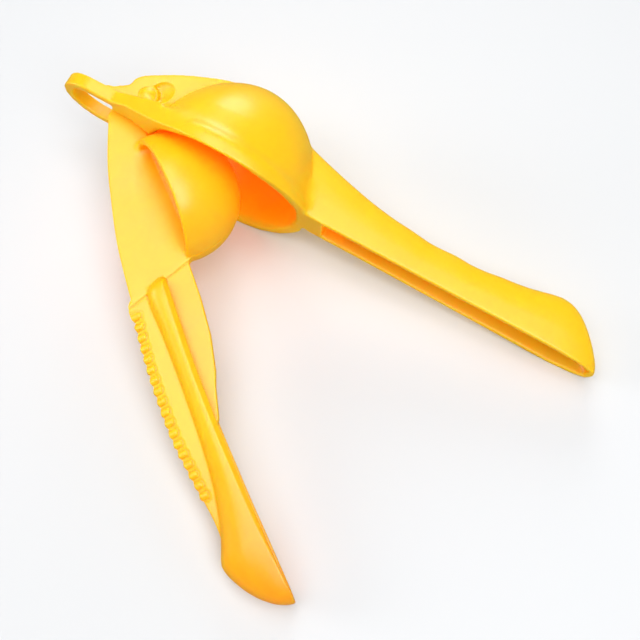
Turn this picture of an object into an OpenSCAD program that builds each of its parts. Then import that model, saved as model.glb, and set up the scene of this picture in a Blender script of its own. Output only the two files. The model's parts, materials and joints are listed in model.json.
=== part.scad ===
// Hinged lemon squeezer, lying open on its side.
// Three pieces: the strainer lever with its bowl, hang loop and trough handle, the press lever
// with its plunger dome, ribbed grip and trough handle, and the pin that joins them.
// Each lever is drawn from the hinge: X runs along the lever, Y is the way it closes, Z is the pin.
// The whole is then laid down on the rim of the bowl and the ends of both handles.

/* [Strainer bowl] */
// Hinge axis to bowl axis
bowl_offset = 39.3; // [38:0.1:41]
// Outside radius of the rim round the mouth
rim_radius = 34.5; // [33.5:0.1:36]
// Outside radius of the bowl where it leaves the rim
bowl_radius = 32.2; // [31:0.1:33]
// Hinge axis to the outside of the bowl's top
bowl_top = 25; // [24:0.1:26]
// Thickness of the bowl
bowl_wall = 2.4; // [2:0.1:2.6]
// Shape of the bowl's outline, where 2 is a plain ellipse
bowl_fullness = 1.9; // [1.6:0.05:2.2]
// How far the bowl's inner edge flares out at the mouth
mouth_flare = 4.2; // [2:0.1:4.4]
// Hinge axis down to the ends of the rim's arched front
front_drop = 11.5; // [11:0.1:12]
// How far the middle of that front bows out
rim_bulge = 3.4; // [2:0.1:4]
// Diameter of a drain hole
drain_diameter = 3; // [2:0.1:3.4]
// Holes in the ring round the middle drain hole
drain_count = 6; // [4:1:7]

/* [Strainer handle and hang loop] */
// Hinge axis down to the front plane of the hang loop
loop_drop = 10.6; // [10:0.1:11]
// Thickness of the plate that carries loop, ears and rim
plate_thickness = 5.1; // [4.8:0.1:6]
// Hinge axis to the end of the hang loop
loop_reach = 30.8; // [30:0.1:33]
// Half the width of the hang loop
loop_half_width = 12.6; // [12:0.1:14]
// Width of the loop's limbs
loop_limb = 3.4; // [3.2:0.1:4.5]
// Thickness of the handle walls
handle_wall = 2.2; // [1.8:0.1:2.4]
// Height of the finger waves on the handle's back
wave_height = 0.35; // [0:0.05:0.8]
// Distance from one finger wave to the next
wave_pitch = 19; // [17:0.5:21]

/* [Hinge] */
// Diameter of the hinge pin
pin_diameter = 5; // [4.4:0.1:5.4]
// Gap round the pin in the press lever's eye
pin_clearance = 0.08; // [0.05:0.01:0.1]
// Diameter of the pin's domed heads
pin_head_diameter = 7.4; // [7:0.1:7.8]
// Outside radius of the ears
ear_radius = 7.6; // [7:0.1:8]
// Half the gap between the ears
ear_half_gap = 5.2; // [5:0.1:5.6]
// Thickness of an ear
ear_thickness = 2.8; // [2.6:0.1:3]
// Depth of the hollow beside the pin's head
recess_depth = 1.2; // [0.6:0.1:1.4]

/* [Press lever] */
// Hinge axis to the plunger's axis
dome_offset = 37.9; // [37:0.1:39]
// Outside radius of the plunger dome
dome_radius = 24.1; // [23.5:0.1:24.5]
// Thickness of the dome
dome_wall = 2.2; // [1.8:0.1:2.4]
// Hinge axis down to the dome's centre
dome_centre_drop = 6; // [5.5:0.1:6.5]
// Hinge axis down to the plunger's open rim, beside the leaf
dome_rim_drop = 11.3; // [10.5:0.1:11.8]
// Angle at which that rim rises towards the dome's sides
dome_rim_rise = 12; // [8:0.5:14]
// How far the lips of the handle slant in towards the channel
lip_slant = 1.5; // [0.5:0.1:2]
// Half the thickness of the leaf that carries the plunger
leaf_half = 2.4; // [2:0.1:2.6]
// How much thinner the grip and the wing are than the leaf, on each side
fin_step = 0.35; // [0.2:0.05:0.5]
// Number of teeth on the grip
tooth_count = 17; // [15:1:18]
// Distance from one tooth to the next
tooth_pitch = 3.95; // [3.8:0.05:4.1]
// Radius of a tooth
tooth_radius = 1.9; // [1.7:0.05:2.1]

/* [Pose] */
// How far the levers stand open
opening = 36.5; // [20:0.5:40]

/* [Hidden] */

$fn = 96;
cut = 1;
plastic_yellow = [1, 0.82, 0.2];

bowl_depth = bowl_top + front_drop;
bowl_skirt = 8;
rim_band_top = -8;
plate_back = plate_thickness - loop_drop;
arch_half = 36;
arch_radius = (arch_half * arch_half + rim_bulge * rim_bulge) / (2 * rim_bulge);
slot_half = loop_half_width - loop_limb;
drain_ring_radius = 5.2;

ear_outer = ear_half_gap + ear_thickness;
boss_radius = 4.3;
eye_radius = 6.8;
eye_half = ear_half_gap - 0.3;
neck_half_gap = leaf_half + 0.6;
rib_half = 1.2;
swing_gap = 0.5;
flare_depth = 4.15;
flare_start = 0.7;
lip_edge = 0.6;

strainer_fullness = 3.4;
press_fullness = 2.3;
strainer_mouth = 78;
press_mouth = 66.5;
nose_slant = 0.29;
nose_length = 24;
narrowest_hollow = 2.5;

// The three points that it lies on: the rim of the bowl and a lip near the end of each handle
rim_rest = [bowl_offset + 6.4, -14.8, -33.9];
strainer_rest = [181, -12.7, -8.9];
press_rest = [178, -24.5, -8.5];
press_rest_open = [
    press_rest[0] * cos(opening) + press_rest[1] * sin(opening),
    press_rest[1] * cos(opening) - press_rest[0] * sin(opening), press_rest[2]
];
down = cross(strainer_rest - rim_rest, press_rest_open - rim_rest);
down_unit = down / norm(down);
lean = acos(-down_unit[2]);
// Middle of the whole, seen from above
middle = [78.42, -54.25];

// Handle outlines from root to tip: [along the lever, height of the back, half width, lip depth]
strainer_stations = [
    [52, 17.4, 8.8, 12], [66, 12.7, 8.7, 12], [80, 8.7, 8.6, 12.2], [94, 5.4, 8.6, 12.2],
    [108, 3.4, 8.8, 12.3], [122, 2.4, 9, 12.4], [140, 2.8, 9.3, 12.5], [156, 4.9, 9.7, 12.5],
    [168, 7.5, 9.9, 12.6], [175, 5.9, 9.7, 12.7], [181, 1.1, 8.9, 12.7], [186, -4.8, 7.4, 12.7],
    [189.3, -9.4, 4.8, 12.7], [190.4, -11.8, 1.6, 12.7]
];
// The same for the press lever, where the back lies below the lips and those are measured at their edges
press_stations = [
    [64.4, 27.8, 2.4, 22.4], [65.3, 28.8, 4.6, 21.4], [67.2, 29.5, 6.8, 20.9], [71, 29.8, 7.7, 21.2],
    [84, 29.8, 8, 22.4], [100, 30.4, 8.2, 23.6], [120, 31.8, 8.4, 24.4], [136, 33.6, 8.6, 24.6],
    [150, 36.6, 9, 24.6], [159, 40, 9.4, 24.5], [165, 42.3, 9.6, 24.5], [171, 40.7, 9.4, 24.5],
    [178, 36.6, 8.5, 24.5], [183, 31.7, 6.6, 24.5], [185.4, 27.6, 3.6, 24.5], [186, 25.4, 1.2, 24.5]
];

// Outline of the hollow beside the pin's head, round the outer side of the head
recess_edge = [
    [0.6, 4.9], [1.7, 6.7], [4.2, 8.1], [6.3, 8], [7.9, 6.4],
    [8.3, 4.1], [7.4, 1.2], [5.9, -0.6], [3.8, -2.4], [2.6, -2.9]
];
// Upper edge of a cheek, from the ear to the side of the bowl
cheek_edge = [[-7.2, 3.4], [-4.4, 6.6], [5, 12.3], [13, 16.1], [21.3, 19.4], [26.5, 20.7], [31, 21]];
// Outer edge of the leaf, from the eye to where the grip begins
leaf_edge = [
    [-eye_radius, 0], [-5.4, -9], [-2, -15.2], [3.1, -17.8],
    [16.5, -23.4], [30, -27.5], [47.8, -32], [70, -35.4]
];
// The leaf ends on a slanted line, from the wing to the grip
leaf_end = [[62.8, -10.9], [70, -35.4]];
// Outer edge of the grip, along the roots of its teeth
grip_edge = [[70, -35.4], [77, -36.9], [84, -38], [93, -39.1], [104, -40], [119.6, -40.7], [138, -39.6],
    [150, -38.6], [158, -38.8]];
// Plain rounded block before the first tooth
block_edge = [[67.6, -34.2], [68.4, -35.9], [70.3, -37], [72.6, -37.5], [74.8, -37.4], [76, -36]];
// Inner edge of the wing that stands in the strainer handle when the levers close
wing_edge = [[62.8, -10.9], [76.5, -12], [90.4, -14.1], [103, -17.6], [119, -24.4], [130, -31.8]];
// Where the grip's plane ends inside the wall of the trough
web_edge = [[140, -33], [150, -35.6], [157, -38.4]];

function catmull(a, b, c, d, t) =
    0.5 * (2 * b + (c - a) * t + (2 * a - 5 * b + 4 * c - d) * t * t + (3 * b - a - 3 * c + d) * t * t * t);
function smooth(points, steps) =
    let (last = len(points) - 1)
    concat(
        [for (i = [0 : last - 1], j = [0 : steps - 1])
            catmull(points[max(i - 1, 0)], points[i], points[i + 1], points[min(i + 2, last)], j / steps)],
        [points[last]]);

// Half of a superellipse on the lip plane: [height, sideways]
// Below that plane its sides carry on for a stretch, and end in from where they began
function section(half_width, height, fullness, below, inward = 0) =
    let (arc = [for (i = [0 : 14])
            let (a = 180 * i / 14)
            [height * pow(sin(a), 2 / fullness), half_width * sign(cos(a)) * pow(abs(cos(a)), 2 / fullness)]],
        end = half_width - inward)
    below > 0 ? concat([[-below, end]], arc, [[-below, -end]]) : arc;

function finger_wave(x) =
    x < 100 || x > 160 ? 0 : wave_height * cos(360 * (x - 108) / wave_pitch) * sin(180 * (x - 100) / 60);

function bowl_outline(radius, depth) = [for (i = [0 : 16])
    let (a = 90 * i / 16)
    [radius * pow(cos(a), 2 / bowl_fullness), depth * pow(sin(a), 2 / bowl_fullness)]];

// Rounded edge of the mouth: it widens from the bowl's inner radius down to the front
function flare_outline(radius) = [for (i = [0 : 8])
    let (a = 90 * i / 8)
    [radius + mouth_flare * (1 - cos(a)), -flare_depth * sin(a)]];

// Solid through rings of equal length, each a list of points
module loft(rings) {
    count = len(rings[0]);
    last = len(rings) - 1;
    polyhedron(
        points = [for (ring = rings) each ring],
        faces = concat(
            [[for (i = [count - 1 : -1 : 0]) i]],
            [for (r = [0 : last - 1], i = [0 : count - 1])
                let (j = (i + 1) % count, a = r * count, b = (r + 1) * count)
                each [[a + i, a + j, b + j], [a + i, b + j, b + i]]],
            [[for (i = [0 : count - 1]) last * count + i]]),
        convexity = 8);
}

// A slab across the lever, with the drawn outline seen from its front
module across(low, high) {
    translate([0, high, 0]) rotate([90, 0, 0]) linear_extrude(high - low) children();
}

// A slab in the middle plane of a lever
module slab(half) {
    linear_extrude(2 * half, center = true) children();
}

module hinge_bore(radius) {
    cylinder(r = radius, h = 4 * ear_outer, center = true);
}

module bowl_form(radius, depth) {
    translate([bowl_offset, -front_drop, 0]) rotate([-90, 0, 0])
        rotate_extrude() polygon(concat(
            [[0, -bowl_skirt], [radius, -bowl_skirt]], bowl_outline(radius, depth)));
}

// The space inside the bowl, out through its rounded mouth
module bowl_hollow() {
    inside = bowl_radius - bowl_wall;
    bowl_form(inside, bowl_depth - bowl_wall);
    translate([bowl_offset, flare_start - front_drop, 0]) rotate([-90, 0, 0])
        rotate_extrude() polygon(concat(
            [[0, 0]], flare_outline(inside), [[inside + mouth_flare, -bowl_skirt], [0, -bowl_skirt]]));
}

// Everything behind the arched front of the rim
module behind_arch() {
    translate([bowl_offset, arch_radius - front_drop - rim_bulge, 0])
        cylinder(r = arch_radius, h = 4 * rim_radius, center = true, $fn = 360);
}

// Straight sides from the hang loop to the rim
module plate_outline() {
    start = [-8, loop_half_width];
    away = norm([bowl_offset - start[0], start[1]]);
    touch = 180 - atan(start[1] / (bowl_offset - start[0])) - acos((rim_radius - 0.3) / away);
    end = [bowl_offset + (rim_radius - 0.3) * cos(touch), (rim_radius - 0.3) * sin(touch)];
    loop_centre = loop_half_width - loop_reach;
    side = [[loop_centre, start[1]], start, end];
    polygon(concat(side, [for (i = [2 : -1 : 0]) [side[i][0], -side[i][1]]]));
    translate([loop_centre, 0]) circle(r = loop_half_width);
}

module strainer_plate() {
    across(-loop_drop, plate_back) plate_outline();
}

module strainer_bowl() {
    intersection() {
        union() {
            translate([bowl_offset, rim_band_top, 0]) rotate([90, 0, 0])
                cylinder(r = rim_radius, h = bowl_skirt);
            bowl_form(bowl_radius, bowl_depth);
            across(rim_band_top - bowl_skirt, plate_back) plate_outline();
        }
        behind_arch();
    }
}

// Side wall that carries one ear, from the loop to the side of the bowl
module cheek() {
    linear_extrude(ear_thickness) {
        circle(r = ear_radius);
        polygon(concat(smooth(cheek_edge, 4), [
            [31, 0], [16, rim_band_top], [-16, rim_band_top], [-16, plate_back + 1.2], [-13.9, -3.2],
            [-12.4, -2.9], [-ear_radius, 0.6]
        ]));
    }
}

// Hollow in the cheek's outer face that rings the pin's head on the bowl side
module cheek_recess() {
    linear_extrude(recess_depth + cut) difference() {
        polygon(concat([[0, 0]], smooth(recess_edge, 3)));
        circle(r = boss_radius);
    }
}

// Stations of a trough, whose hollow stops where the handle gets narrower than a few walls
function trough_stations(stations, inset, from) =
    [for (s = smooth(stations, 3)) if (s[0] > from && s[2] > narrowest_hollow * inset) s];

module strainer_trough(inset, below, from) {
    loft([for (s = trough_stations(strainer_stations, inset, from))
        [for (p = section(s[2] - inset, s[1] + finger_wave(s[0]) + s[3] - inset, strainer_fullness, below))
            [s[0], p[0] - s[3], p[1]]]]);
}

module hang_slot() {
    slot_centre = loop_limb + slot_half - loop_reach;
    across(-front_drop - 2 * cut, plate_back + cut) {
        translate([slot_centre, 0]) circle(r = slot_half);
        translate([slot_centre, -slot_half]) square([9.5, 2 * slot_half]);
    }
}

// Way through plate and rim for the press lever's eye and neck
module neck_passage() {
    translate([-14, -front_drop - 3 * cut, -ear_half_gap]) cube([22, 10, 2 * ear_half_gap]);
    translate([0, -front_drop - bowl_skirt, -neck_half_gap]) cube([16, front_drop + 6, 2 * neck_half_gap]);
}

// Room for the plunger as it swings past the hinge side of the rim
module swing_relief() {
    intersection() {
        rotate_extrude() translate([norm([dome_offset, dome_centre_drop]), 0])
            circle(r = dome_radius + swing_gap);
        translate([0, rim_band_top - 2 * bowl_skirt, -rim_radius])
            cube([bowl_offset, 2 * bowl_skirt, 2 * rim_radius]);
    }
}

module drain_holes() {
    translate([bowl_offset, 0, 0]) rotate([-90, 0, 0]) {
        cylinder(d = drain_diameter, h = 2 * bowl_top);
        for (i = [0 : drain_count - 1]) rotate(i * 360 / drain_count) translate([drain_ring_radius, 0, 0])
            cylinder(d = drain_diameter, h = 2 * bowl_top);
    }
}

module strainer_lever() {
    color(plastic_yellow)
    difference() {
        union() {
            strainer_plate();
            strainer_bowl();
            translate([0, 0, ear_half_gap]) cheek();
            translate([0, 0, -ear_outer]) cheek();
            strainer_trough(0, 0, 0);
        }
        bowl_hollow();
        strainer_trough(handle_wall, cut, strainer_mouth);
        hang_slot();
        neck_passage();
        swing_relief();
        drain_holes();
        hinge_bore(pin_diameter / 2);
        for (side = [0, 1]) mirror([0, 0, side]) translate([0, 0, ear_outer - recess_depth]) cheek_recess();
    }
}

// Leaf and neck in the press lever's middle plane
module leaf_outline() {
    side = dome_radius - 2;
    polygon(concat(smooth(leaf_edge, 6), [
        leaf_end[0], [dome_offset + side, -dome_centre_drop], [dome_offset - side, -dome_centre_drop],
        [9, -5.5], [eye_radius, 0]
    ]));
    circle(r = eye_radius);
}

// Grip and wing, which carry on in the same plane
module fin_outline() {
    inner = concat(wing_edge, web_edge);
    polygon(concat(
        smooth(grip_edge, 5), [for (i = [len(inner) - 1 : -1 : 0]) inner[i]], [[60, -14], [66, -33]]));
}

// A tooth is a small barrel set into the grip's edge
module tooth() {
    half = leaf_half - fin_step + 0.25;
    rotate_extrude($fn = 32)
        polygon([[0, -half], [tooth_radius - 0.9, -half], [tooth_radius - 0.2, 0.9 - half],
            [tooth_radius, 1.6 - half], [tooth_radius, half - 1.6], [tooth_radius - 0.2, half - 0.9],
            [tooth_radius - 0.9, half], [0, half]]);
}

module grip_teeth() {
    first = 77.9;
    sunk = 1;
    edge = smooth(grip_edge, 12);
    for (i = [0 : tooth_count - 1]) {
        x = first + i * tooth_pitch;
        root = [for (p = edge) if (p[0] >= x) p][0];
        translate([x, root[1] + sunk, 0]) tooth();
    }
    slab(leaf_half - 0.2) polygon(smooth(block_edge, 5));
}

// How far behind its edges the lips' outer corner lies
function lip_corner(x) = lip_slant * max(0, min(1, (176 - x) / 20, (x - 63.6) / 3));

module press_trough_form(inset, below, inward, from) {
    mirror([0, 1, 0]) loft([for (s = trough_stations(press_stations, inset, from))
        let (slant = nose_slant * max(0, 1 - (s[0] - press_stations[0][0]) / nose_length),
            corner = lip_corner(s[0]), lips = s[3] + corner, wide = s[2] - inset)
        [for (p = section(
                wide, s[1] - lips - inset, press_fullness, below + corner, min(inward, 0.6 * wide)))
            [s[0] + p[0] * slant, lips + p[0], p[1]]]]);
}

module press_trough() {
    wall = handle_wall - 0.2;
    difference() {
        press_trough_form(0, 0.01, wall - lip_edge, 0);
        press_trough_form(wall, cut, 0, press_mouth);
    }
}

module dome_form(radius) {
    translate([dome_offset, -dome_centre_drop, 0]) sphere(r = radius);
}

// Everything under the plunger's rim, which is lowest beside the leaf
module below_rim() {
    side = 50;
    rise = side * tan(dome_rim_rise);
    rotate([90, 0, 90]) linear_extrude(dome_offset + side) polygon([
        [-dome_rim_drop, 0], [rise - dome_rim_drop, side], [-dome_rim_drop - side, side],
        [-dome_rim_drop - side, -side], [rise - dome_rim_drop, -side]
    ]);
}

module plunger_dome() {
    difference() {
        dome_form(dome_radius);
        dome_form(dome_radius - dome_wall);
        below_rim();
    }
    // rib that fills the dome's middle plane
    intersection() {
        dome_form(dome_radius - dome_wall / 2);
        translate([dome_offset - 40, -dome_centre_drop - 1.5, -rib_half]) cube([80, 50, 2 * rib_half]);
    }
}

module press_lever() {
    color(plastic_yellow)
    difference() {
        union() {
            press_trough();
            plunger_dome();
            slab(leaf_half) leaf_outline();
            slab(leaf_half - fin_step) fin_outline();
            cylinder(r = eye_radius, h = 2 * eye_half, center = true);
            grip_teeth();
        }
        hinge_bore(pin_diameter / 2 + pin_clearance);
    }
}

module hinge_pin() {
    color(plastic_yellow) {
        cylinder(d = pin_diameter, h = 2 * ear_outer, center = true);
        for (side = [0, 1]) mirror([0, 0, side]) translate([0, 0, ear_outer])
            intersection() {
                cylinder(d = pin_head_diameter, h = 2);
                translate([0, 0, -4]) sphere(r = 5.3);
            }
    }
}

module laid_down() {
    translate([-middle[0], -middle[1], down_unit * rim_rest])
        rotate(a = lean, v = cross(down_unit, [0, 0, -1])) children();
}

laid_down() strainer_lever();
laid_down() rotate(-opening) press_lever();
laid_down() hinge_pin();
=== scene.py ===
import json
import math
import bmesh
import bpy
import numpy as np
from mathutils import Euler, Matrix, Vector


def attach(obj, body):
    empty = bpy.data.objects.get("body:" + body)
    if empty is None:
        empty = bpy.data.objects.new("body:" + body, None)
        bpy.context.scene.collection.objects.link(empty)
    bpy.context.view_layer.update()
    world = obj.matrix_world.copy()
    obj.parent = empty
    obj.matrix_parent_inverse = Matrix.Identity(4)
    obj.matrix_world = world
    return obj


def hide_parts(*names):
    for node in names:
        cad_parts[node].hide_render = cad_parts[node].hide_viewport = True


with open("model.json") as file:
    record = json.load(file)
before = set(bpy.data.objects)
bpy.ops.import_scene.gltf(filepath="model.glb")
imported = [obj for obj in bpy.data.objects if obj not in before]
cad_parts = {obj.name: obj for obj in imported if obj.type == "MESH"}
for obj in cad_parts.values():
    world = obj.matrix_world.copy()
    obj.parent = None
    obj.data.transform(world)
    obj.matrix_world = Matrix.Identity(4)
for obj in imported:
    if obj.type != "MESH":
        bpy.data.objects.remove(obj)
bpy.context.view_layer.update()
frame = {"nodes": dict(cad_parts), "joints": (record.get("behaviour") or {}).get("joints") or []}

camera = {
    "place": (0.090714, -0.073774, 0.304173),
    "turn": (21.731, 4.8083, 28.9443),
    "lens": 47.868,
    "filmWidth": 36,
}


def addCamera():
    data = bpy.data.cameras.new("camera")
    data.sensor_width = camera["filmWidth"]
    data.lens = camera["lens"]
    data.clip_start = 0.01
    item = bpy.data.objects.new("camera", data)
    item.location = camera["place"]
    item.rotation_euler = Euler([math.radians(a) for a in camera["turn"]], "XYZ")
    bpy.context.collection.objects.link(item)
    bpy.context.scene.camera = item


addCamera()
bpy.context.scene.view_settings.view_transform = "Standard"
print("camera placed")


def addNode(tree, kind, place, **settings):
    node = tree.nodes.new(kind)
    node.location = place
    for name, value in settings.items():
        setattr(node, name, value)
    return node


# A socket takes either a link or a fixed value
def feed(tree, socket, value):
    if isinstance(value, bpy.types.NodeSocket):
        tree.links.new(value, socket)
    else:
        socket.default_value = value


def maths(tree, place, operation, *values):
    node = addNode(tree, "ShaderNodeMath", place, operation=operation)
    for socket, value in zip(node.inputs, values):
        feed(tree, socket, value)
    return node.outputs[0]


def rescale(tree, place, value, span, low=0.0, high=1.0, curve="LINEAR"):
    node = addNode(tree, "ShaderNodeMapRange", place, interpolation_type=curve)
    sockets = ("Value", "From Min", "From Max", "To Min", "To Max")
    for name, end in zip(sockets, (value, *span, low, high)):
        feed(tree, node.inputs[name], end)
    return node.outputs[0]


def mixColour(tree, place, factor, first, second):
    mix = addNode(tree, "ShaderNodeMix", place, data_type="RGBA")
    feed(tree, mix.inputs[0], factor)
    for socket, value in ((mix.inputs[6], first), (mix.inputs[7], second)):
        feed(tree, socket, (*value, 1) if isinstance(value, tuple) else value)
    return mix.outputs[2]


studio = {
    "lamps": {  # compass angle, height angle, watts
        "key": (337, 52, 2.45),
        "overhead": (60, 86, 1.3),
        "overRight": (0, 70, 2.25),
        "overTop": (135, 70, 1.5),
        "overLeft": (225, 70, 1.15),
        "overFront": (270, 70, 0.65),
        "top": (112, 25, 2.2),
        "side": (202, 25, 1.85),
    },
    "far": 0.9,
    "size": 0.42,
    "worldLight": 0.14,
    "floorHalf": 3,
    "floorSeen": (0.71, 0.722, 0.736),
    "floorBounce": (0.95, 0.95, 0.95),
    "floorInGloss": (0.12, 0.12, 0.12),
    "floorRoughness": 0.9,
    "floorShine": 0.1,
}


def addLamp(name, compass, height, watts):
    around, up = math.radians(compass), math.radians(height)
    way = Vector((math.cos(around) * math.cos(up), math.sin(around) * math.cos(up), math.sin(up)))
    data = bpy.data.lights.new(name, "AREA")
    data.shape = "DISK"
    data.size = studio["size"]
    data.energy = watts
    item = bpy.data.objects.new(name, data)
    item.location = way * studio["far"]
    item.rotation_euler = way.to_track_quat("Z", "Y").to_euler()
    bpy.context.collection.objects.link(item)


def addWorld():
    world = bpy.data.worlds.new("studio")
    bpy.context.scene.world = world
    world.use_nodes = True
    back = world.node_tree.nodes["Background"]
    back.inputs["Color"].default_value = (1, 1, 1, 1)
    back.inputs["Strength"].default_value = studio["worldLight"]


# The floor lights the tool as white paper does, but shows less bright and hardly mirrors in the plastic
def paperWhite():
    paint = bpy.data.materials.new("paperWhite")
    paint.use_nodes = True
    tree = paint.node_tree
    shader = tree.nodes["Principled BSDF"]
    ray = addNode(tree, "ShaderNodeLightPath", (-900, 0))
    tone = mixColour(tree, (-600, 0), ray.outputs["Is Camera Ray"],
                     studio["floorBounce"], studio["floorSeen"])
    tone = mixColour(tree, (-300, 0), ray.outputs["Is Glossy Ray"], tone, studio["floorInGloss"])
    tree.links.new(tone, shader.inputs["Base Color"])
    shader.inputs["Roughness"].default_value = studio["floorRoughness"]
    shader.inputs["Specular IOR Level"].default_value = studio["floorShine"]
    return paint


def addFloor():
    bm = bmesh.new()
    bmesh.ops.create_grid(bm, x_segments=1, y_segments=1, size=studio["floorHalf"])
    mesh = bpy.data.meshes.new("floor")
    bm.to_mesh(mesh)
    bm.free()
    mesh.materials.append(paperWhite())
    floor = bpy.data.objects.new("floor", mesh)
    bpy.context.collection.objects.link(floor)


for name, (compass, height, watts) in studio["lamps"].items():
    addLamp(name, compass, height, watts)
addWorld()
addFloor()
print("studio placed")

# The levers' own axes run along the lever, the way it closes and along the pin
hinge = frame["joints"][0]
opening = 36.5
alongPin = Vector((0, 0, 1)).rotation_difference(Vector(hinge["axis"]))
hingeSpace = Matrix.Translation(hinge["pos_m"]) @ alongPin.to_matrix().to_4x4()
pressSpace = hingeSpace @ Matrix.Rotation(math.radians(-opening), 4, "Z")
millimetre = 0.001

skin = {
    "inputs": {"Grain Scale": 900, "Flow Scale": 45, "Roughness": 0.3, "Edge Tint": 0.2},
    "grain": {"Detail": 3, "Roughness": 0.6},
    "grainHeight": 0.25,  # against the flow's height of 1
    "flow": {"Detail": 2, "Roughness": 0.45, "Distortion": 0.6},
    "flowSpan": (0.3, 0.7),
    "roughnessShift": (-0.05, 0.06),
    "edgeSpan": (0.52, 0.6),
    "paintedCreaseShadeSpan": (0.49, 0.42),
    "wallReach": 0.05,
    "wallSamples": 8,
    "paintedWallShadeSpan": (0.92, 0.4),
}


# Grain, flow marks and three masks: edges, and painted shade in fine creases and in places between walls
def skinGroup():
    group = bpy.data.node_groups.new("mouldedSkin", "ShaderNodeTree")
    sockets = group.interface
    sockets.new_socket("Vector", in_out="INPUT", socket_type="NodeSocketVector")
    for name, value in skin["inputs"].items():
        socket = sockets.new_socket(name, in_out="INPUT", socket_type="NodeSocketFloat")
        socket.default_value = value
    for name in ("Height", "Roughness", "Flow", "Edge", "Hollow", "Enclosed"):
        sockets.new_socket(name, in_out="OUTPUT", socket_type="NodeSocketFloat")
    start = addNode(group, "NodeGroupInput", (-900, 0))
    end = addNode(group, "NodeGroupOutput", (700, 0))
    noises = {}
    for name, height in (("grain", 300), ("flow", 0)):
        noise = addNode(group, "ShaderNodeTexNoise", (-600, height))
        for socket, value in skin[name].items():
            noise.inputs[socket].default_value = value
        feed(group, noise.inputs["Vector"], start.outputs["Vector"])
        feed(group, noise.inputs["Scale"], start.outputs[name.title() + " Scale"])
        noises[name] = noise.outputs["Fac"]
    shift = rescale(group, (-300, -100), noises["flow"], skin["flowSpan"], *skin["roughnessShift"])
    shape = addNode(group, "ShaderNodeNewGeometry", (-600, -350))
    bend = shape.outputs["Pointiness"]
    # how closely walls enclose a spot, which drives the painted shade between walls
    walls = addNode(group, "ShaderNodeAmbientOcclusion", (-600, -850), only_local=True)
    walls.samples = skin["wallSamples"]
    walls.inputs["Distance"].default_value = skin["wallReach"]
    results = {
        "Height": maths(group, (-100, 300), "MULTIPLY_ADD",
                        noises["grain"], skin["grainHeight"], noises["flow"]),
        "Roughness": maths(group, (0, 0), "ADD", shift, start.outputs["Roughness"]),
        "Flow": noises["flow"],
        "Edge": rescale(group, (-300, -350), bend, skin["edgeSpan"], high=start.outputs["Edge Tint"]),
        "Hollow": rescale(group, (-300, -600), bend, skin["paintedCreaseShadeSpan"]),
        "Enclosed": rescale(group, (-300, -850), walls.outputs["AO"], skin["paintedWallShadeSpan"],
                            curve="SMOOTHSTEP"),
    }
    for name, result in results.items():
        feed(group, end.inputs[name], result)
    return group


mouldedSkin = skinGroup()

plastic = {
    "body": (1, 0.56, 0.005),
    "pale": (1, 0.63, 0.015),
    "flowShare": 0.5,  # of the pale colour in the flow marks
    # painted shade: deeper orange in fine creases
    "deep": (1, 0.36, 0.004),
    # painted falloff of light: darker, more orange towards the press handle's end
    "handleEndPaintedShade": (0.9, 0.37, 0.006),
    "handleEndPaintedShadeSpan": (0.12, 0.186),
    # painted shade between walls, weaker away from the bowl
    "paintedWallShadeColour": (1, 0.45, 0),
    "paintedWallShadeElsewhere": 0.35,
    # painted glow: orange emission in the hollows of the bowl and the plunger
    "paintedGlowColour": (1, 0.12, 0),
    "paintedGlowStrength": 0.43,
    "paintedGlowPower": 2,
    "bowlMiddle": (0.039, 0, 0),
    "bowlSpan": (0.052, 0.038),
    "roughness": 0.36,
    "shine": 0.58,
    "seeInto": (1, 0.35, 0.03),
    "seeWeight": 0.8,
    "depth": 0.003,
    "bump": 0.00004,
    "bumpStrength": 0.5,
}


# Both levers have the bowl or the plunger at the same distance from the pin; this mask keeps the painted
# glow and most of the painted wall shade to them
def bowlMask(tree, spot):
    reach = addNode(tree, "ShaderNodeVectorMath", (-700, 750), operation="DISTANCE")
    reach.inputs[1].default_value = plastic["bowlMiddle"]
    feed(tree, reach.inputs[0], spot)
    return rescale(tree, (-500, 750), reach.outputs["Value"], plastic["bowlSpan"])


# The yellow is paler on edges; painted shade makes it deeper orange in fine creases and between walls, and
# painted falloff of light makes it darker and more orange towards the end of the press handle
def yellowColour(tree, spot, surface, nearBowl, space):
    flowing = tuple(a + plastic["flowShare"] * (b - a) for a, b in zip(plastic["body"], plastic["pale"]))
    colour = mixColour(tree, (-500, 300), surface.outputs["Flow"], plastic["body"], flowing)
    # painted falloff of light towards the end of the press handle
    if space is pressSpace:
        along = addNode(tree, "ShaderNodeSeparateXYZ", (-900, 400))
        feed(tree, along.inputs[0], spot)
        reach = rescale(tree, (-700, 500), along.outputs["X"], plastic["handleEndPaintedShadeSpan"])
        colour = mixColour(tree, (-400, 450), reach, colour, plastic["handleEndPaintedShade"])
    colour = mixColour(tree, (-300, 300), surface.outputs["Edge"], colour, plastic["pale"])
    # painted shade between walls, strongest near the bowl and the plunger
    least = plastic["paintedWallShadeElsewhere"]
    share = maths(tree, (-350, 850), "MULTIPLY_ADD", nearBowl, 1 - least, least)
    share = maths(tree, (-200, 850), "MULTIPLY", share, surface.outputs["Enclosed"])
    colour = mixColour(tree, (-200, 300), share, colour, plastic["paintedWallShadeColour"])
    return mixColour(tree, (-100, 300), surface.outputs["Hollow"], colour, plastic["deep"])


# Painted glow: orange emission where walls enclose the bowl and the plunger, standing in for the light in
# their hollows
def makePaintedGlow(tree, surface, nearBowl):
    deepest = maths(tree, (-300, 550), "POWER", surface.outputs["Enclosed"], plastic["paintedGlowPower"])
    share = maths(tree, (-200, 650), "MULTIPLY", deepest, nearBowl)
    return mixColour(tree, (-100, 500), share, (0.0, 0.0, 0.0), plastic["paintedGlowColour"])


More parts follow.
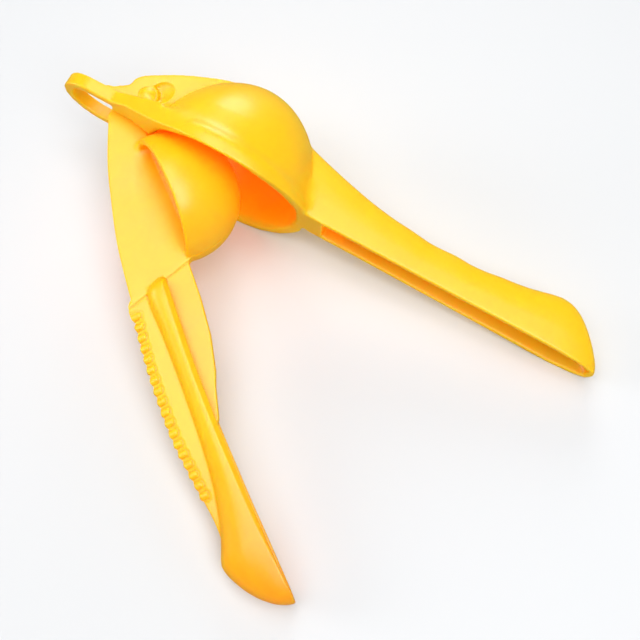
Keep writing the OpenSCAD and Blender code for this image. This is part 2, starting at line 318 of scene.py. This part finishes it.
def mouldedYellow(name, space):
    paint = bpy.data.materials.new(name)
    paint.use_nodes = True
    tree = paint.node_tree
    shader = tree.nodes["Principled BSDF"]
    place = addNode(tree, "ShaderNodeTexCoord", (-1300, 0))
    turn = addNode(tree, "ShaderNodeMapping", (-1100, 0))
    back = space.inverted()
    turn.inputs["Location"].default_value = back.to_translation()
    turn.inputs["Rotation"].default_value = back.to_euler("XYZ")
    feed(tree, turn.inputs["Vector"], place.outputs["Object"])
    spot = turn.outputs[0]
    surface = addNode(tree, "ShaderNodeGroup", (-800, 0))
    surface.node_tree = mouldedSkin
    surface.inputs["Roughness"].default_value = plastic["roughness"]
    feed(tree, surface.inputs["Vector"], spot)
    bump = addNode(tree, "ShaderNodeBump", (-300, -300))
    bump.inputs["Strength"].default_value = plastic["bumpStrength"]
    bump.inputs["Distance"].default_value = plastic["bump"]
    feed(tree, bump.inputs["Height"], surface.outputs["Height"])
    nearBowl = bowlMask(tree, spot)
    for socket, value in (
        ("Base Color", yellowColour(tree, spot, surface, nearBowl, space)),
        # painted glow in the hollows of the bowl and the plunger
        ("Emission Color", makePaintedGlow(tree, surface, nearBowl)),
        ("Emission Strength", plastic["paintedGlowStrength"]),
        ("Roughness", surface.outputs["Roughness"]),
        ("Normal", bump.outputs[0]),
        ("Subsurface Weight", plastic["seeWeight"]),
        ("Subsurface Radius", plastic["seeInto"]),
        ("Subsurface Scale", plastic["depth"]),
        ("Specular IOR Level", plastic["shine"]),
    ):
        feed(tree, shader.inputs[socket], value)
    return paint


strainerYellow = mouldedYellow("strainerYellow", hingeSpace)
pressYellow = mouldedYellow("pressYellow", pressSpace)
print("materials mixed")


# A lever is recast as an even mesh, which can be softened and shaped all over
def castMesh(node, name, voxel):
    bm = bmesh.new()
    bm.from_mesh(frame["nodes"][node].data)
    bmesh.ops.remove_doubles(bm, verts=bm.verts, dist=1e-6)
    mesh = bpy.data.meshes.new(name)
    bm.to_mesh(mesh)
    bm.free()
    item = bpy.data.objects.new(name, mesh)
    bpy.context.collection.objects.link(item)
    remesh = item.modifiers.new("cast", "REMESH")
    remesh.mode = "VOXEL"
    remesh.voxel_size = voxel
    remesh.use_smooth_shade = True
    bake(item)
    return item


def bake(item):
    done = bpy.data.meshes.new_from_object(item.evaluated_get(bpy.context.evaluated_depsgraph_get()))
    item.modifiers.clear()
    item.data = done


# The cast mesh is all quads, which count as two triangles each
def thin(item, most):
    fewer = item.modifiers.new("thin", "DECIMATE")
    fewer.ratio = min(1, most / (2 * len(item.data.polygons)))
    bake(item)


# Vertices in millimetres, along the lever's own axes
def leverPoints(verts, space):
    points = np.array([v.co for v in verts])
    back = np.array(space.inverted())
    return (points @ back[:3, :3].T + back[:3, 3]) / millimetre


def movePoints(verts, space, points):
    there = np.array(space)
    placed = (points * millimetre) @ there[:3, :3].T + there[:3, 3]
    for vert, spot in zip(verts, placed):
        vert.co = spot


def moveChosen(verts, space, points, near):
    chosen = np.flatnonzero(near)
    movePoints([verts[i] for i in chosen], space, points[chosen])


def smoothPasses(bm, verts, passes):
    for i in range(passes):
        bmesh.ops.smooth_vert(bm, verts=verts, factor=0.5, use_axis_x=True, use_axis_y=True, use_axis_z=True)


def smoothChosen(bm, verts, near, passes):
    smoothPasses(bm, [verts[i] for i in np.flatnonzero(near)], passes)


def calmVerts(bm, limit):
    sharp = {v for e in bm.edges if e.calc_face_angle(0) > limit for v in e.verts}
    near = {e.other_vert(v) for v in sharp for e in v.link_edges}
    return [v for v in bm.verts if v not in sharp and v not in near]


def softenCast(bm, values):
    smoothPasses(bm, bm.verts, values["edgePasses"])
    smoothPasses(bm, calmVerts(bm, math.radians(values["edgeAngle"])), values["flatPasses"])


# More passes around chosen points, on both sides of the lever
def softenSpots(bm, space, spots):
    verts = bm.verts[:]
    points = leverPoints(verts, space)
    points[:, 2] = abs(points[:, 2])
    for centre, radius, passes in spots:
        smoothChosen(bm, verts, np.linalg.norm(points - np.array(centre), axis=1) < radius, passes)


def finishLever(item, node, body, paint, values):
    thin(item, values["mostTriangles"])
    item.data.materials.clear()
    item.data.materials.append(paint)
    item.data.calc_loop_triangles()
    print(item.name, len(item.data.loop_triangles), "triangles")
    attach(item, body)
    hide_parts(node)


strainer = {
    "voxel": 0.0004,
    "edgePasses": 3,
    "edgeAngle": 14,
    "flatPasses": 20,
    "softSpots": [((22.5, -7, 28.5), 6.5, 160), ((70, -10, 9), 4.5, 30)],  # lever point, radius, passes
    "mostTriangles": 190000,
}
bowl = {
    "axis": 39.3,
    "rimOuter": 36,
    "crease": (-5.1, 5.1, 29.4, 130),  # height, reach, from this radius, passes
    "creaseWider": (0, 0.8, 1.6),  # each time with a third of the passes
    "inwards": 0.25,  # part of the widening that also goes inwards
    "flare": (-11.5, 2.6, 31.5, 20),  # height, reach, up to this radius, passes
}
recess = {
    "bossRadius": 4.3,
    "outline": [(-48, 4.4), (-32, 4.7), (-6, 5.9), (9, 7.5), (26, 9.3), (39, 10.2), (52, 10.2), (63, 9.1),
                (76, 6.9), (83, 5)],  # angle, radius
    "beyond": 0.35,
    "beyondAngle": 4,
    "inBoss": 0.3,
    "inWall": 0.5,
    "depth": (1.9, 0.2),  # at the boss, at the outline
    "slope": 0.9,
    "cadDepth": 1.2,
    "earFace": 8,
    "softSpots": [((4, 3, 7), 8, 2)],
}


def softenBowl(bm):
    verts = bm.verts[:]
    points = leverPoints(verts, hingeSpace)
    out = np.hypot(points[:, 0] - bowl["axis"], points[:, 2])
    height, reach, fromRadius, passes = bowl["crease"]
    for wider in bowl["creaseWider"]:
        near = (abs(points[:, 1] - height) < reach + wider) & (out > fromRadius - wider * bowl["inwards"])
        smoothChosen(bm, verts, near & (out < bowl["rimOuter"]), passes)
        passes //= 3
    height, reach, toRadius, passes = bowl["flare"]
    smoothChosen(bm, verts, (abs(points[:, 1] - height) < reach) & (out < toRadius), passes)


# The hollow beside the pin's head fades out at its outline and is deepest at the boss
def slopeRecess(bm):
    verts = bm.verts[:]
    points = leverPoints(verts, hingeSpace)
    out = np.hypot(points[:, 0], points[:, 1])
    angle = np.degrees(np.arctan2(points[:, 1], points[:, 0]))
    angles, radii = np.array(recess["outline"]).T
    edge = np.interp(angle, angles, radii) + recess["beyond"]
    height = abs(points[:, 2])
    near = (angle > angles[0] - recess["beyondAngle"]) & (angle < angles[-1] + recess["beyondAngle"])
    near &= (out > recess["bossRadius"] - recess["inBoss"]) & (out < edge)
    near &= height > recess["earFace"] - recess["cadDepth"] - recess["inWall"]
    share = np.clip((out - recess["bossRadius"]) / (edge - recess["bossRadius"]), 0, 1)
    deep, shallow = recess["depth"]
    depth = shallow + (deep - shallow) * (1 - share) ** recess["slope"]
    down = np.clip((recess["earFace"] - height) / recess["cadDepth"], 0, 1)
    points[:, 2] = np.sign(points[:, 2]) * (recess["earFace"] - depth * down)
    moveChosen(verts, hingeSpace, points, near)


def addStrainer():
    item = castMesh("strainer_lever", "strainerLever", strainer["voxel"])
    bm = bmesh.new()
    bm.from_mesh(item.data)
    softenCast(bm, strainer)
    softenBowl(bm)
    softenSpots(bm, hingeSpace, strainer["softSpots"])
    slopeRecess(bm)
    softenSpots(bm, hingeSpace, recess["softSpots"])
    bm.to_mesh(item.data)
    bm.free()
    finishLever(item, "strainer_lever", "strainer", strainerYellow, strainer)


addStrainer()
print("strainer lever cast")

press = {
    "voxel": 0.00034,
    "edgePasses": 2,
    "edgeAngle": 14,
    "flatPasses": 24,
    "softSpots": [((16.5, -9.8, 4.5), 4.5, 70)],  # lever point, radius, passes
    "leafHalf": 2.4,
    "finHalf": 2.05,
    "mostTriangles": 192000,
}
leafEnd = {
    "from": (62.8, -10.9),
    "to": (70, -35.4),
    "along": (60, 72),
    "reach": 2.6,
    "fade": 0.8,
    "face": (1.7, 2.5),  # heights that belong to the faces of leaf and grip
    "seamDepth": 0.22,
    "seamWidth": 0.35,
}
teeth = {
    "count": 17,
    "first": 77.9,
    "pitch": 3.95,
    "radius": 1.9,
    "rise": 0.25,
    "sunk": 1,
    "edge": [(70, -35.4), (77, -36.9), (84, -38), (93, -39.1), (104, -40), (119.6, -40.7), (138, -39.6),
             (150, -38.6), (158, -38.8)],
    "reach": 4.8,
    "face": (1.1, 2.7),
    "faceFade": 0.4,
    "ends": (-1.6, -0.4),  # in pitches, from the first tooth and from the place after the last
    "start": 3,
    "nubRadius": 1.2,
    "nubLength": 2.55,
    "nubFall": (0.6, 2.2),  # drop at the radius, power
    "tipFall": (0.5, 3),  # drop at the tip, over this length
    "edgeFall": (1.25, 4.2),
    "seam": (0.2, 0.3, 0.3),  # depth, distance from the finger, width
    "lowest": 0.1,
}
scoop = {
    "axis": 38.5,
    "half": 21.5,
    "width": 8.4,
    "fullWidth": 6,
    "leastWidth": 0.01,
    "depth": 1.5,
    "under": 3.2,
    "rimHeight": -10.9,
    "upTo": -6.3,
    "face": (1.6, 2.5),
    "slope": 1.7,
}
flank = {
    "foot": [(64.4, -22.4), (67.2, -20.9), (71, -21.2), (84, -22.4), (100, -23.6), (120, -24.4),
             (160, -24.5)],
    "lean": 1.1,
    "crest": 8,
    "fadeOut": 4,  # over the wing
    "fadeIn": (3, 2),  # kept so far inwards, then faded over this
    "start": (65, 6),
    "end": (160, 25),
}


# A thin step where the leaf ends and the thinner grip and wing begin
def stepLeafEnd(bm):
    verts = bm.verts[:]
    points = leverPoints(verts, pressSpace)
    (x1, y1), (x2, y2) = leafEnd["from"], leafEnd["to"]
    length = math.hypot(x2 - x1, y2 - y1)
    across = ((points[:, 0] - x1) * (y1 - y2) + (points[:, 1] - y1) * (x2 - x1)) / length
    height = abs(points[:, 2])
    near = (abs(across) < leafEnd["reach"]) & (height > leafEnd["face"][0]) & (height < leafEnd["face"][1])
    near &= (points[:, 0] > leafEnd["along"][0]) & (points[:, 0] < leafEnd["along"][1])
    seam = leafEnd["seamDepth"] * np.exp(-(across / leafEnd["seamWidth"]) ** 2)
    target = np.where(across < 0, press["leafHalf"], press["finHalf"]) - seam
    flat = np.clip((leafEnd["reach"] - abs(across)) / leafEnd["fade"], 0, 1)
    points[:, 2] = np.sign(points[:, 2]) * (height + (target - height) * flat)
    moveChosen(verts, pressSpace, points, near)


# Each tooth is a rounded finger across the grip's edge, and the face falls off between them
def shapeTeeth(bm):
    verts = bm.verts[:]
    points = leverPoints(verts, pressSpace)
    edgeX, edgeY = np.array(teeth["edge"]).T
    tips = np.interp(points[:, 0], edgeX, edgeY) - teeth["radius"] + teeth["sunk"]
    step = np.clip(np.round((points[:, 0] - teeth["first"]) / teeth["pitch"]), -1, teeth["count"] - 1)
    inward = points[:, 1] - tips
    toothX = teeth["first"] + step * teeth["pitch"]
    away = np.hypot(points[:, 0] - toothX, np.maximum(inward - teeth["nubLength"], 0))
    height = abs(points[:, 2])
    first = teeth["first"] + teeth["ends"][0] * teeth["pitch"]
    last = teeth["first"] + (teeth["count"] + teeth["ends"][1]) * teeth["pitch"]
    low, high = teeth["face"]
    near = (points[:, 0] > first) & (points[:, 0] < last) & (inward < teeth["reach"])
    near &= (height > low) & (height < high)
    fade = np.clip((points[:, 0] - first) / teeth["start"], 0, 1)
    fall, length = teeth["edgeFall"]
    between = press["finHalf"] - fade * fall * np.clip(1 - inward / length, 0, 1)
    fall, length = teeth["tipFall"]
    top = press["finHalf"] + teeth["rise"] - fall * fade * np.clip(1 - inward / length, 0, 1)
    drop, power = teeth["nubFall"]
    finger = top - drop * (away / teeth["nubRadius"]) ** power
    depth, gap, width = teeth["seam"]
    groove = depth * fade * np.exp(-((away - teeth["nubRadius"] - gap) / width) ** 2)
    finger = np.maximum(finger, between - teeth["lowest"])
    target = np.where(away < teeth["nubRadius"], finger, between - groove)
    onFace = np.clip((height - low) / teeth["faceFade"], 0, 1)
    points[:, 2] = np.sign(points[:, 2]) * (height + (target - height) * onFace)
    moveChosen(verts, pressSpace, points, near)


# The leaf thins towards the plunger's rim, down to the rib inside it
def scoopLeaf(bm):
    verts = bm.verts[:]
    points = leverPoints(verts, pressSpace)
    place = np.clip(abs(points[:, 0] - scoop["axis"]) / scoop["half"], 0, 1)
    width = scoop["width"] * np.sqrt(1 - place ** 2) + scoop["leastWidth"]
    share = np.clip((points[:, 1] - scoop["rimHeight"] + width) / (width + scoop["under"]), 0, 1)
    height = abs(points[:, 2])
    near = (place < 1) & (share > 0) & (points[:, 1] < scoop["upTo"])
    near &= (height > scoop["face"][0]) & (height < scoop["face"][1])
    depth = scoop["depth"] * np.minimum(1, width / scoop["fullWidth"]) * share ** scoop["slope"]
    points[:, 2] = np.sign(points[:, 2]) * (height - depth)
    moveChosen(verts, pressSpace, points, near)


# The handle's flank leans out over the wing
def leanFlank(bm):
    verts = bm.verts[:]
    points = leverPoints(verts, pressSpace)
    footX, footY = np.array(flank["foot"]).T
    beyond = points[:, 1] - np.interp(points[:, 0], footX, footY)
    low = np.clip((flank["crest"] - abs(points[:, 2])) / (flank["crest"] - press["finHalf"]), 0, 1)
    kept, fade = flank["fadeIn"]
    across = np.where(beyond > 0, 1 - beyond / flank["fadeOut"], 1 + (beyond + kept) / fade)
    (start, rise), (end, fall) = flank["start"], flank["end"]
    along = np.minimum((points[:, 0] - start) / rise, (end - points[:, 0]) / fall)
    points[:, 1] += flank["lean"] * low * np.clip(across, 0, 1) * np.clip(along, 0, 1)
    movePoints(verts, pressSpace, points)


def addPress():
    item = castMesh("press_lever", "pressLever", press["voxel"])
    bm = bmesh.new()
    bm.from_mesh(item.data)
    softenCast(bm, press)
    leanFlank(bm)
    scoopLeaf(bm)
    softenSpots(bm, pressSpace, press["softSpots"])
    stepLeafEnd(bm)
    shapeTeeth(bm)
    bm.to_mesh(item.data)
    bm.free()
    finishLever(item, "press_lever", "press", pressYellow, press)


addPress()
print("press lever cast")

pin = {
    "outline": [(0, 9.3), (0.9, 9.22), (1.8, 8.95), (2.6, 8.5), (3.2, 8.05), (3.45, 7.9), (2.5, 7.8),
                (2.5, 5.1), (2.42, 5), (2.42, 0)],  # radius, height, slimmer inside the press lever's eye
    "steps": 64,
    "sharpAngle": 50,
}


def addPin():
    bm = bmesh.new()
    chain = [bm.verts.new((r * millimetre, 0, z * millimetre)) for r, z in pin["outline"]]
    for a, b in zip(chain, chain[1:]):
        bm.edges.new((a, b))
    bmesh.ops.spin(bm, geom=bm.verts[:] + bm.edges[:], axis=(0, 0, 1), cent=(0, 0, 0), angle=math.tau,
                   steps=pin["steps"], use_merge=True)
    bmesh.ops.remove_doubles(bm, verts=bm.verts, dist=1e-7)
    bmesh.ops.mirror(bm, geom=bm.verts[:] + bm.edges[:] + bm.faces[:], axis="Z", merge_dist=1e-6)
    bmesh.ops.recalc_face_normals(bm, faces=bm.faces)
    bmesh.ops.transform(bm, matrix=hingeSpace, verts=bm.verts)
    mesh = bpy.data.meshes.new("hingePin")
    bm.to_mesh(mesh)
    bm.free()
    mesh.shade_smooth()
    mesh.set_sharp_from_angle(angle=math.radians(pin["sharpAngle"]))
    mesh.materials.append(strainerYellow)
    item = bpy.data.objects.new("hingePin", mesh)
    bpy.context.collection.objects.link(item)
    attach(item, "strainer")
    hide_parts("hinge_pin")


addPin()
print("pin turned")
